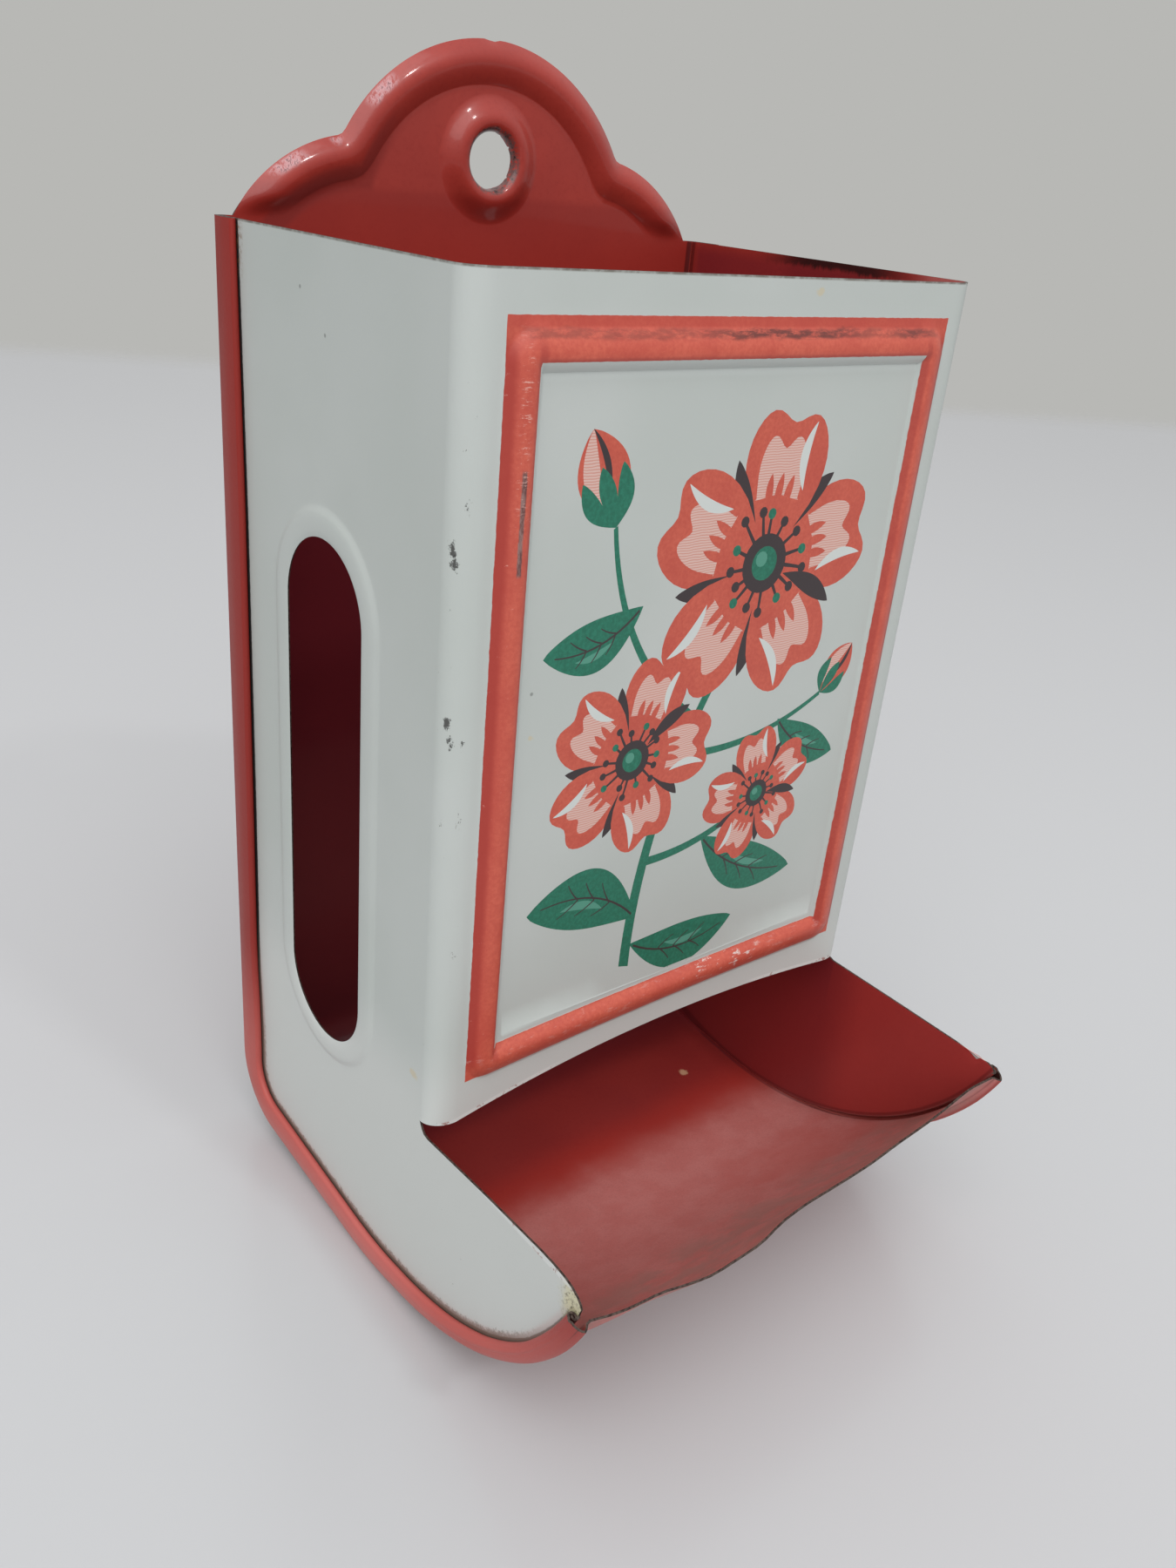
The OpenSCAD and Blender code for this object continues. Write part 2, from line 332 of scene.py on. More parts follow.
def across_tray(kind, value, row):
    """Place across the tray and depth inside its outer face."""
    width = seam_width(row)
    strip_x = wall_half + strip_out * seam_squeeze(row)
    return_x = wall_half + return_out * seam_squeeze(row)
    fold_r = (strip_x - return_x) / 2
    start = mid_t - seam_bulge(row)
    bend = min(strip_bend, width - start - 0.5)
    if kind == "flat" or kind == "corner":
        x = value if kind == "flat" else strip_x - bend * (1 - sin(value))
        near = min(1.0, max(0.0, (x - swell_from) / swell_over))
        depth = mid_t - seam_bulge(row) * near * near * (3 - 2 * near)
        return x, depth + (0 if kind == "flat" else bend * (1 - cos(value)))
    if kind == "strip":
        return (strip_x + strip_crown * sin(pi * value),
                (start + bend) * (1 - value) + (width - fold_r) * value)
    if kind == "fold":
        return return_x + fold_r * (1 + cos(value)), width - fold_r + fold_r * sin(value)
    return return_x, width - fold_r - value * max(0.1, width - fold_r - max(start + 0.9, 0.95))


def tray_place(column, row):
    side, kind, value = section[column]
    x, depth = across_tray(kind, value, row)
    forward, up = on_profile(row, depth - lip_bow(side * x, row))
    return side * x, -forward, up


tray_run = wrapped_grid("tray_run", len(section), len(stations), tray_place)
back_tray = welded("back_tray_sheet", [tray_run, crest, boss])
fill_flat(back_tray, lambda x, y, z: z > -0.01 and lobe_depth(x, z) > 4.2
          and hypot(x, z - rim_drop) > boss_profile[-1][0] - 0.01)


class Wire:
    """An output socket inside a material. Sums on wires add Math nodes."""

    def __init__(self, socket):
        self.socket = socket

    def node(self, kind, settings, sockets, out=0):
        """Adds any other node: its settings first, then the values or links it takes."""
        tree = self.socket.id_data
        made = tree.nodes.new(kind)
        for name, value in settings.items():
            setattr(made, name, value)
        for key, value in sockets.items():
            if isinstance(value, Wire):
                tree.links.new(value.socket, made.inputs[key])
            else:
                made.inputs[key].default_value = value
        return Wire(made.outputs[out])

    def math(self, operation, *others):
        values = [o.socket if isinstance(o, Wire) else o for o in (self, *others)]
        tree = self.socket.id_data
        made = tree.nodes.new("ShaderNodeMath")
        made.operation = operation
        for slot, value in zip(made.inputs, values):
            if isinstance(value, (int, float)):
                slot.default_value = value
            else:
                tree.links.new(value, slot)
        return Wire(made.outputs[0])

    def taken_from(self, value, operation):
        """A number first and this wire second, for the reflected forms."""
        made = self.math(operation, 0.0)
        node = made.socket.node
        tree = self.socket.id_data
        tree.links.remove(node.inputs[0].links[0])
        node.inputs[0].default_value = value
        tree.links.new(self.socket, node.inputs[1])
        return made

    def __add__(self, other):
        return self.math("ADD", other)

    __radd__ = __add__

    def __sub__(self, other):
        return self.math("SUBTRACT", other)

    def __rsub__(self, other):
        return self.taken_from(other, "SUBTRACT")

    def __mul__(self, other):
        return self.math("MULTIPLY", other)

    __rmul__ = __mul__

    def __abs__(self):
        return self.math("ABSOLUTE")

    def rise(self, low, high):
        """0 below low, 1 above high and a smooth step between; low may be the higher."""
        return self.node("ShaderNodeMapRange", {"interpolation_type": "SMOOTHSTEP"},
                         {0: self, 1: low, 2: high, 3: 0.0, 4: 1.0})

    def between(self, low, high, soft):
        return self.rise(low - soft, low + soft) * self.rise(high + soft, high - soft)

    def noise(self, scale, detail=2.0, rough=0.5, stretch=(1, 1, 1)):
        """Noise on this place, in waves per mm."""
        pulled = self.node("ShaderNodeMapping", {}, {"Vector": self, "Scale": stretch})
        return pulled.node("ShaderNodeTexNoise", {"noise_dimensions": "3D"},
                           {"Vector": pulled, "Scale": scale, "Detail": detail, "Roughness": rough})

    def from_point(self, at, stretch=(1, 1, 1)):
        """How far this place is from a point, in mm, each axis stretched by its own factor."""
        off = self.node("ShaderNodeVectorMath", {"operation": "SUBTRACT"}, {0: self, 1: at})
        pulled = off.node("ShaderNodeVectorMath", {"operation": "MULTIPLY"}, {0: off, 1: stretch})
        return pulled.node("ShaderNodeVectorMath", {"operation": "LENGTH"}, {0: pulled}, out=1)

    def blend(self, under, over):
        """Colour: under where this wire is 0, over where it is 1."""
        return self.node("ShaderNodeMix", {"data_type": "RGBA", "clamp_factor": True},
                         {0: self, 6: under, 7: over}, out=2)


def shade(red, green, blue):
    """A colour as it is seen, 0 to 255, as the linear value that a shader takes."""
    seen = [c / 255 for c in (red, green, blue)]
    return (*[c / 12.92 if c <= 0.04045 else ((c + 0.055) / 1.055) ** 2.4 for c in seen], 1.0)


def new_finish(name):
    """A new material, its shader, and the place on the holder in mm from the rim."""
    finish = bpy.data.materials.new(name)
    finish.use_nodes = True
    shader = finish.node_tree.nodes["Principled BSDF"]
    coords = Wire(finish.node_tree.nodes.new("ShaderNodeTexCoord").outputs["Object"])
    place = coords.node("ShaderNodeMapping", {}, {"Vector": coords, "Location": (0, 0, rim_drop),
                                                  "Scale": (1 / mm, 1 / mm, 1 / mm)})
    parts = place.node("ShaderNodeSeparateXYZ", {}, {0: place}).socket.node
    return finish, shader, place, *(Wire(out) for out in parts.outputs)


def finish_with(shader, colour, roughness, height, depth_mm):
    """Feeds a shader its colour, roughness and small relief."""
    tree = shader.id_data
    relief = height.node("ShaderNodeBump", {},
                         {"Strength": 1.0, "Distance": depth_mm * mm, "Height": height})
    tree.links.new(colour.socket, shader.inputs["Base Color"])
    tree.links.new(roughness.socket, shader.inputs["Roughness"])
    tree.links.new(relief.socket, shader.inputs["Normal"])


# Red lacquer: glossy and a little cloudy; matches have rubbed the trough dull and dusty. Shade,
# light and reflections are painted into it in places, as said below
lacquer, shader, place, x, y, z = new_finish("red_lacquer")
forward = y * -1
cloud = place.noise(0.06, 3.0)
grain = place.noise(1.6, 3.0, 0.6)
fleck = place.noise(5.0, 2.0, 0.6)
colour = cloud.rise(0.3, 0.7).blend(shade(154, 50, 42), shade(165, 55, 45))
colour = (grain.rise(0.45, 0.75) * 0.25).blend(colour, shade(136, 32, 27))
# Painted shade: the lacquer deep inside the hopper is darkened to maroon, where little light
# reaches
hopper_shade = forward.between(0.2, 55.0, 0.08) * abs(x).rise(39.95, 39.85) * z.rise(-12, -40)
hopper_shade = hopper_shade * z.rise(-118, -104).math("MAXIMUM", forward.rise(30, 18))
colour = (hopper_shade * 0.85).blend(colour, shade(86, 25, 38))
# Painted reflection: the back's inner face just below the crest is darkened, as if it mirrored
# something dark
painted_dark_reflection = z.between(-14, 4.2, 0.8) * forward.between(0.1, 2.0, 0.08) * abs(x).rise(39.9, 39.6)
colour = (painted_dark_reflection * 0.55).blend(colour, shade(134, 34, 29))
right_skin = x.between(39.4, 39.85, 0.05)
right_inside = right_skin * forward.rise(1, 3)
# Painted shade: the right wall's inner face below the rim is darkened to maroon inside the hopper
colour = (right_inside * z.rise(1, -2) * z.rise(-98, -90) * 0.6).blend(colour, shade(106, 26, 40))
cheek_inside = right_inside * z.rise(-98, -106)
colour = (cheek_inside * 0.6).blend(colour, shade(168, 58, 58))
# Painted shade: the cheek's inner face is darkened close to the front panel, under which it lies
colour = (cheek_inside * forward.rise(64, 54) * 0.5).blend(colour, shade(96, 24, 34))
back_corner = abs(x).between(38.95, 39.75, 0.12) * forward.between(0.15, 1.5, 0.1)
back_corner = back_corner * z.rise(0.4, -0.3)
colour = (back_corner * 0.75).blend(colour, shade(58, 14, 18))
strip = abs(x).rise(39.85, 40.25)
colour = (strip * 0.8).blend(colour, shade(137, 35, 28))
# Painted reflection: the strip's lower turn is paler, as if it mirrored the white table; its lowest
# edge is paler still as a painted highlight
painted_table_reflection = strip * z.rise(-100, -128)
colour = (painted_table_reflection * 0.75).blend(colour, shade(194, 96, 89))
colour = (strip * z.rise(-131, -138) * 0.5).blend(colour, shade(212, 128, 122))

sunk, ahead = z - float(trough_c[1]), forward - float(trough_c[0])
from_axis = (sunk * sunk + ahead * ahead).math("SQRT")
trough_skin = from_axis.rise(51.9, 52.3) * forward.rise(20, 24) * abs(x).rise(40.0, 39.6)
worn_to = forward + (place.noise(0.1, 4.0, 0.6) - 0.5) * 7
cloth = place.noise(0.22, 5.0, 0.65)
# Real dust on the trough in front of the panel; its pale pink also paints the sheen and light that
# fall there beyond the panel's shadow
dust_and_sheen = trough_skin * worn_to.rise(41, 51.5)
dust_and_sheen_colour = cloth.rise(0.35, 0.65).blend(shade(190, 111, 106), shade(195, 121, 116))
dust_and_sheen_colour = (place.noise(0.9, 4.0, 0.7).rise(0.5, 0.75) * 0.25).blend(dust_and_sheen_colour, shade(164, 100, 94))
dust_and_sheen_colour = (place.noise(3.4, 4.0, 0.75).rise(0.45, 0.68) * 0.3).blend(dust_and_sheen_colour, shade(152, 88, 82))
soot = place.noise(0.16, 5.0, 0.7)
dust_and_sheen_colour = (worn_to.rise(68, 80) * soot.rise(0.62, 0.4) * 0.65).blend(dust_and_sheen_colour, shade(156, 118, 110))
speckled = worn_to.rise(60, 80) * place.noise(2.6, 4.0, 0.8).rise(0.6, 0.66)
dust_and_sheen_colour = (speckled * 0.35).blend(dust_and_sheen_colour, shade(128, 92, 84))
rubbed = place.from_point((24.0, -68.0, -130.0), (0.06, 0.09, 0.07)) + (cloth - 0.5) * 1.1
dust_and_sheen_colour = (rubbed.rise(1.1, 0.3) * 0.3).blend(dust_and_sheen_colour, shade(186, 84, 74))
colour = (dust_and_sheen * 0.92).blend(colour, dust_and_sheen_colour)
# Painted shade: the trough darkens towards the front panel, under which it lies
colour = (trough_skin * forward.rise(46, 37) * 0.45).blend(colour, shade(106, 26, 35))
# Painted light: a brighter red band on the trough's floor just before the dust
painted_lit_floor = trough_skin * (1 - dust_and_sheen) * forward.rise(35, 43)
colour = (painted_lit_floor * 0.5).blend(colour, shade(172, 52, 46))
pale_spot = place.from_point((29.0, -35.0, -138.9)) + (grain - 0.5) * 1.2
colour = (pale_spot.rise(1.0, 0.5) * 0.8).blend(colour, shade(205, 165, 130))
# Painted shade: a dark line in the crevice where the cheeks meet the trough
crevice_shade_line = from_axis.between(51.6, 53.2, 0.15) * abs(x).between(39.25, 39.8, 0.12)
colour = (crevice_shade_line * forward.rise(14, 18) * 0.5).blend(colour, shade(84, 24, 26))

# The crest's rubbed outer edge with a painted highlight on its worn patches, painted shade at the
# left lobes' inner foot, and bare tin torn up inside the hang hole
scratch = place.noise(1.2, 5.0, 0.75, (1.6, 1, 0.7))
# Rubbed patches on the crest's outer edge: their pale pink is a painted highlight, the dark
# scratches in them are real wear
wear_and_highlight = place.from_point((-32.4, -1.0, 6.8), (0.17, 0.2, 0.45)).rise(1.0, 0.5)
wear_and_highlight = wear_and_highlight + place.from_point((-17.8, -1.0, 16.2), (0.3, 0.2, 0.32)).rise(1.0, 0.5)
wear_and_highlight = wear_and_highlight + place.from_point((-23.9, -1.0, 9.9), (0.8, 0.2, 0.8)).rise(1.0, 0.3)
side_place = abs(x) - side_lobe[0]
side_up = z - side_lobe[1]
side_inset = side_lobe[2] - (side_place * side_place + side_up * side_up).math("SQRT")
inset = (mid_lobe[2] - place.from_point((0, 0, mid_lobe[1]), (1, 0, 1))).math("MAXIMUM", side_inset)
# Painted shade: the left lobes' inner foot is darkened; there the lacquer is also duller
dull_and_shaded_foot = inset.between(3.5, 6.4, 0.5) * x.rise(-13, -19)
colour = (dull_and_shaded_foot * 0.5).blend(colour, shade(112, 28, 25))
wear_and_highlight = wear_and_highlight * inset.between(0.0, 1.3, 0.3) * forward.rise(0.25, 0.5)
colour = (wear_and_highlight * scratch.rise(0.38, 0.54) * 0.65).blend(colour, shade(206, 164, 168))
colour = (wear_and_highlight * scratch.rise(0.56, 0.60) * 0.8).blend(colour, shade(92, 30, 32))
in_hole = place.from_point((0, 0, rim_drop), (1, 0, 1)).rise(4.5, 4.0) * z.rise(4, 5)
bare = place.noise(1.1, 4.0, 0.7)
colour = (in_hole * bare.rise(0.42, 0.5) * 0.85).blend(colour, shade(92, 70, 68))
colour = (in_hole * bare.rise(0.56, 0.62) * 0.85).blend(colour, shade(50, 28, 27))

chip = place.noise(0.8, 5.0, 0.75).rise(0.71, 0.74)
colour = (chip * 0.7).blend(colour, shade(70, 24, 24))
down_to = z + (place.noise(0.7, 6.0, 0.8, (1, 1, 0.3)) - 0.5) * 2.4
rim_chips = right_skin * down_to.rise(-1.5, -0.7) * forward.between(20, 43, 6)
colour = (rim_chips * 0.92).blend(colour, shade(26, 18, 18))
curl = abs(x).between(39.95, 41.0, 0.04) * from_axis.between(49.5, 53.6, 0.1)
colour = (curl * forward.rise(84.5, 85.8) * 0.9).blend(colour, shade(34, 28, 26))
roughness = 0.3 + grain * 0.1 + dust_and_sheen * 0.24 + strip * 0.1 + dull_and_shaded_foot * 0.3
finish_with(shader, colour, roughness, fleck * 0.35 + grain * 0.65 + cloud * 2.0, 0.02)
coat = 0.34 - (dust_and_sheen + strip + dull_and_shaded_foot).math("MINIMUM", 1.0) * 0.3
shader.id_data.links.new(coat.socket, shader.inputs["Coat Weight"])
shader.inputs["Coat Roughness"].default_value = 0.1
shader.inputs["Specular IOR Level"].default_value = 0.3

# Cut edge: bare tin with rust in its pores
cut_edge, shader, place, x, y, z = new_finish("cut_edge")
pores = place.noise(2.2, 4.0, 0.7)
colour = pores.rise(0.42, 0.62).blend(shade(82, 70, 64), shade(44, 31, 28))
round_hole = place.from_point((0, 0, rim_drop), (1, 0, 1)).rise(5.5, 4.5) * z.rise(2, 4)
colour = (round_hole * 0.7).blend(colour, shade(72, 26, 24))
finish_with(shader, colour, 0.45 + pores * 0.3, pores, 0.03)
shader.inputs["Metallic"].default_value = 0.25
shader.inputs["Specular IOR Level"].default_value = 0.2

given_thickness(back_tray, [lacquer, cut_edge], 0, 1, lambda p: p - Vector((0, -0.03, -0.07)))
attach(back_tray, "root")
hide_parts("back_tray")

# ---- Front shell ------------------------------------------------------------------
# One pressed sheet of tinplate, off-white outside and red inside: side walls with
# windows, rounded corners and the printed front. Its edges hook into the tray's folds.
wall_mid = wall_half - mid_t
front_y = 55.6 - mid_t
flat_end = 52.8
turn_r = front_y - flat_end
turn_across = 3.65
face_half = wall_mid - turn_across
front_low = -104.6
frame_half_w, frame_half_h, frame_mid_z = 32.4, 44.2, -52.2
frame_r = 1.2
bead_h = 1.15
crown_off = -0.2  # the bead's crown lies inside its middle line
outer_reach, inner_reach = 3.0, 1.7
stripe_half, stripe_top, stripe_low = 35.1, -4.35, -98.6  # the coral stripe, outer edges
inner_sides, inner_ends = (-31.2, 30.75), (-94.3, -8.8)  # and inner edges
print_soft = 0.04
art_half = 29.4
art_top, art_low = -11.2, -93.2


def dense(start, middle, end, coarse, fine=0.28, reach=2.6):
    """Places from start to end that crowd round a middle, where a bead is pressed."""
    near = list(np.arange(middle - reach, middle + reach + fine / 2, fine))
    before = np.linspace(start, near[0], max(2, ceil(abs(near[0] - start) / coarse) + 1))[:-1]
    after = np.linspace(near[-1], end, max(2, ceil(abs(end - near[-1]) / coarse) + 1))[1:]
    return [*map(float, before), *map(float, near), *map(float, after)]


art_columns = list(np.linspace(-art_half, art_half, 17))
right_side = dense(art_half, frame_half_w, face_half, 1.0)
face_columns = [-v for v in reversed(right_side)] + art_columns[1:-1] + right_side
art_rows = list(np.linspace(art_top, art_low, 23))
top_rows = sorted(dense(0.0, 8.0, -art_top, 1.6))
low_rows = sorted(dense(-art_low, 96.4, 99.4, 1.2))
face_rows = [-v for v in top_rows] + art_rows[1:-1] + [-v for v in low_rows]
face_rows += [-100.6, -102.0, -103.2, front_low]


def bead_rise(px, pz):
    """Height of the pressed frame: a longer slope outside and a steeper one inside."""
    qx = abs(px) - frame_half_w + frame_r
    qz = abs(pz - frame_mid_z) - frame_half_h + frame_r
    off = hypot(max(qx, 0), max(qz, 0)) + min(max(qx, qz), 0) - frame_r - crown_off
    share = abs(off) / (outer_reach if off > 0 else inner_reach)
    return bead_h * (1 - share * share) ** (1.3 if off > 0 else 1.0) if share < 1 else 0.0


low_lift, lift_from = 2.0, -99.0  # the panel's lower edge rises at its middle
dish_in, dish_from, dish_over = 0.9, -62, 42  # and its lower middle is pushed in


def on_face(px, pz):
    """A point of the front panel: its lower edge lifts and dishes in at the middle."""
    mid = max(0.0, 1 - (px / face_half) ** 2)
    low = min(1.0, max(0.0, (lift_from - pz) / (lift_from - front_low)))
    dish = dish_in * mid * max(0.0, (dish_from - pz) / dish_over) ** 2
    return px, -front_y - bead_rise(px, pz) + dish, pz + low * low_lift * mid


def corner_at(angle):
    return face_half + turn_across * sin(angle), -flat_end - turn_r * cos(angle)


corner_steps = 14
columns = [("corner", -1, a) for a in np.linspace(pi / 2, 0, corner_steps + 1)[:-1]]
columns += [("face", 1, v) for v in face_columns]
columns += [("corner", 1, a) for a in np.linspace(0, pi / 2, corner_steps + 1)[1:]]


def face_place(column, row):
    kind, side, value = columns[column]
    if kind == "face":
        return on_face(value, face_rows[row])
    px, py = corner_at(value)
    return side * px, py, face_rows[row]


face = wrapped_grid("face", len(columns), len(face_rows), face_place)

# The print inside the frame: a spray of garden flowers on bending stalks.
# Each ink is (coral, green, black); half of an ink is its lighter tone.
CORAL, PINK = (1, 0, 0), (0.5, 0, 0)
GREEN, PALE_GREEN = (0, 1, 0), (0, 0.5, 0)
BLACK, LIGHT = (0, 0, 1), (0, 0, 0.5)
prints = []


def stroke(ink, start, end, bend, steps, half_at):
    """A printed shape along a bent line; half_at gives half its width along the way."""
    (ax, az), (bx, bz) = start, end
    length = hypot(bx - ax, bz - az)
    nx, nz = -(bz - az) / length, (bx - ax) / length
    left, right = [], []
    for k in range(steps + 1):
        t = k / steps
        cx = ax + (bx - ax) * t + nx * bend * 4 * t * (1 - t)
        cz = az + (bz - az) * t + nz * bend * 4 * t * (1 - t)
        half = half_at(t)
        left.append((cx + nx * half, cz + nz * half))
        right.append((cx - nx * half, cz - nz * half))
    prints.append((ink, left + right[::-1]))


def blade(ink, start, end, bend, girth, blunt=0.5, steps=18):
    """A leaf, petal or brush mark, pointed at both ends and widest where blunt says."""
    def half_at(t):
        shift = t ** (1 / (2 * blunt)) if blunt < 0.5 else 1 - (1 - t) ** (1 / (2 - 2 * blunt))
        return girth / 2 * sin(pi * min(1.0, max(0.0, shift))) ** 0.8 + 0.02

    stroke(ink, start, end, bend, steps, half_at)


def stalk(ink, start, end, bend, girth, steps=20):
    """A stalk, rib or vein that thins towards its end."""
    stroke(ink, start, end, bend, steps, lambda t: girth / 2 * (1 - 0.45 * t))


def away(at, reach, turn):
    """The point that lies so far from another, in the direction turn."""
    return at[0] + reach * cos(turn), at[1] + reach * sin(turn)


def round_petal(ink, at, turn, reach, spread, notch=0.0, inner=0.0, steps=26):
    """A broad petal seen from above, with a dent in its outer edge."""
    outer = []
    for k in range(steps + 1):
        off = (k / steps * 2 - 1) * spread
        r = reach * max(0.0, cos(pi / 2 * off / spread * 0.985)) ** 0.38
        r = max(inner, r * (1 - notch * exp(-((off / spread) / 0.22) ** 2)))
        outer.append(away(at, r, turn + off))
    root = [away(at, inner * 0.98, turn + off)
            for off in (spread * 0.9, 0.0, -spread * 0.9)] if inner else [at]
    prints.append((ink, outer + root))


def dot(ink, at, r, steps=14):
    prints.append((ink, [away(at, r, 2 * pi * k / steps) for k in range(steps)]))


def rose(at, reach, turn):
    """An open five-petalled flower."""
    spots = Random(int(reach * 10))
    for k in range(5):
        a = turn + 2 * pi * k / 5
        round_petal(CORAL, at, a, reach, 0.70, 0.14)
        round_petal(PINK, at, a + 0.05, reach * 0.84, 0.46, 0.16, reach * 0.44)
        root, end = away(at, reach * 0.2, a + 0.628), away(at, reach * 0.74, a + 0.60)
        blade(BLACK, root, end, reach * 0.03, reach * 0.13, 0.4)
        glow, edge = away(at, reach * 0.5, a - 0.4), away(at, reach * 0.9, a - 0.22)
        blade(LIGHT, glow, edge, reach * 0.05, reach * 0.07, 0.5)
        for off in (-0.2, 0.02, 0.24):
            inner, outer = away(at, reach * 0.3, a + off), away(at, reach * 0.56, a + off * 0.8)
            blade(CORAL, inner, outer, 0.2, reach * 0.06, 0.4, 10)
    for k in range(15):
        a = turn + 2 * pi * k / 15 + spots.uniform(-0.1, 0.1)
        tip = away(at, reach * spots.uniform(0.26, 0.36), a)
        stalk(BLACK, at, tip, 0.1, reach * 0.035, 6)
        dot(GREEN if k % 3 == 0 else BLACK, tip, reach * 0.035, 10)
    dot(BLACK, at, reach * 0.19, 22)
    dot(GREEN, at, reach * 0.11, 18)
    dot(PALE_GREEN, (at[0] - reach * 0.03, at[1] + reach * 0.03), reach * 0.05, 12)


def leaf(start, end, bend, girth):
    """A plain oval leaf with a dark rib, side veins and a paler patch."""
    blade(GREEN, start, end, bend, girth, 0.45, 24)
    length = hypot(end[0] - start[0], end[1] - start[1])
    nx, nz = -(end[1] - start[1]) / length, (end[0] - start[0]) / length

    def at(t, off=0.0):
        lift = bend * 4 * t * (1 - t) + off
        return (start[0] + (end[0] - start[0]) * t + nx * lift,
                start[1] + (end[1] - start[1]) * t + nz * lift)

    blade(PALE_GREEN, at(0.35, girth * 0.12), at(0.72, girth * 0.16),
          bend * 0.3, girth * 0.14, 0.5, 10)
    stalk(BLACK, at(0.04), at(0.9), bend * 0.82, 0.34, 12)
    for t in (0.3, 0.45, 0.6):
        for side in (-1, 1):
            stalk(BLACK, at(t), at(t + 0.13, side * girth * 0.27), 0.15, 0.24, 5)


def bud(at, turn, reach):
    """A closed flower in its green cup."""
    tip = away(at, reach, turn)
    blade(CORAL, at, tip, 0.0, reach * 0.62, 0.45)
    blade(PINK, away(at, reach * 0.1, turn + 1), tip, reach * 0.1, reach * 0.2, 0.45)
    blade(BLACK, away(at, reach * 0.3, turn), tip, -reach * 0.07, reach * 0.07, 0.5)
    for off in (-0.42, 0.42, 0.0):
        blade(GREEN, at, away(at, reach * 0.62, turn + off), off * 2.0, reach * 0.2, 0.4)


low_fork, mid_fork, high_fork = (-7.95, -73.5), (-3.8, -58.5), (-1.8, -53.7)
stalk(GREEN, (-9.0, -90.0), (6.5, -40), 4.5, 1.9)
stalk(GREEN, low_fork, (14.0, -67.0), -2.0, 1.4)
stalk(GREEN, high_fork, (-18.5, -27.0), 3.5, 1.3)
stalk(GREEN, mid_fork, (22.5, -54.5), -2.2, 1.2)
leaf((-8.2, -82.0), (-27.0, -76.0), -2.6, 9.0)
leaf((-8.4, -86.5), (11.5, -88.0), -2.6, 7.6)
leaf((2.5, -72.3), (22.5, -82.5), -2.2, 7.6)
leaf((-13.0, -37.0), (-27.5, -41.5), 1.8, 6.6)
leaf((14.5, -57.0), (27.5, -64.5), -1.4, 6.0)
bud((-18.5, -27.0), 1.95, 12.0)
bud((22.5, -54.5), 0.9, 8.5)
rose((12.5, -68.0), 11.0, 0.5)
rose((-12.0, -57.5), 14.6, 1.25)
rose((7.0, -34.0), 20.5, 0.2)

art_edge = [(v, art_top) for v in art_columns[:-1]] + [(art_half, v) for v in art_rows[:-1]]
art_edge += [(v, art_low) for v in reversed(art_columns[1:])]
art_edge += [(-art_half, v) for v in reversed(art_rows[1:])]
points, rings = [], []
for outline in [art_edge] + [ring for _, ring in prints]:
    if sum(a[0] * b[1] - b[0] * a[1] for a, b in zip(outline, outline[1:] + outline[:1])) < 0:
        outline = outline[::-1]
    rings.append(list(range(len(points), len(points) + len(outline))))
    points += outline
points += [(u, v) for u in art_columns[1:-1] for v in art_rows[1:-1]]
flat, _, cells, _, _, inside_of = delaunay_2d_cdt(
    [Vector(p) for p in points], [], rings, 0, 1e-4, True)
art = bpy.data.objects.new("art", bpy.data.meshes.new("art"))
bpy.context.scene.collection.objects.link(art)
art.data.from_pydata([(px * mm, on_face(px, pz)[1] * mm, (pz - rim_drop) * mm)
                      for px, pz in flat], [], cells)
inked = art.data.attributes.new("ink", "FLOAT_VECTOR", "CORNER")
for cell, owners in zip(art.data.polygons, inside_of):
    top = max(owners, default=0)
    ink = prints[top - 1][0] if top else (0, 0, 0)
    for corner in cell.loop_indices:
        inked.data[corner].vector = ink

# The grid's own cells behind the print make way for it
bpy.ops.object.select_all(action="DESELECT")
face.select_set(True)
bpy.context.view_layer.objects.active = face
bpy.ops.object.mode_set(mode="EDIT")
bpy.ops.mesh.select_mode(type="FACE")
bpy.ops.mesh.select_all(action="DESELECT")
edit = bmesh.from_edit_mesh(face.data)
for cell in edit.faces:
    middle = cell.calc_center_median() / mm
    behind = abs(middle.x) < art_half and art_low < middle.z + rim_drop < art_top
    cell.select_set(behind and middle.y < -flat_end)
bmesh.update_edit_mesh(face.data)
bpy.ops.mesh.delete(type="FACE")
bpy.ops.object.mode_set(mode="OBJECT")

# Windows: an opening with round ends and a raised band round it
window_r = 9.5
window_reach = 27.0
window_y = 27.5
window_z = -70.0
# The band, outwards from the opening: (how far, how high)
band_rows = [(0.0, 0.30), (0.3, 0.42), (0.8, 0.5), (1.5, 0.52), (2.2, 0.5), (2.7, 0.42),
             (3.0, 0.32), (3.3, 0.18), (3.6, 0.06), (3.9, 0.0), (4.4, 0.0)]
round_steps = 32


def window_ring(grow):
    """Points round the opening, grown outwards."""
    r = window_r + grow
    ring = []
    for centre, start in ((window_reach, 0), (-window_reach, 180)):
        ring += [away((window_y, window_z + centre), r, radians(start + a))
                 for a in np.linspace(0, 180, round_steps + 1)]
        (edge_y, edge_z), way = ring[-1], -1 if start == 0 else 1
        ring += [(edge_y, edge_z + way * 2 * window_reach * t) for t in (0.25, 0.5, 0.75)]
    return ring + ring[:1]


# Edge of the shell: turned outwards and hooked forward inside the tray's strip
hook_out = 0.71
beside_seam = (2.0, 1.4, 1.0, 0.7, 0.45, 0.25, 0.1, -0.1)  # on the wall, from the seam's edge
least_depth, least_step = 1.1, 0.05  # where the strip is narrow these keep their order
hook_steps = len(beside_seam) + 6


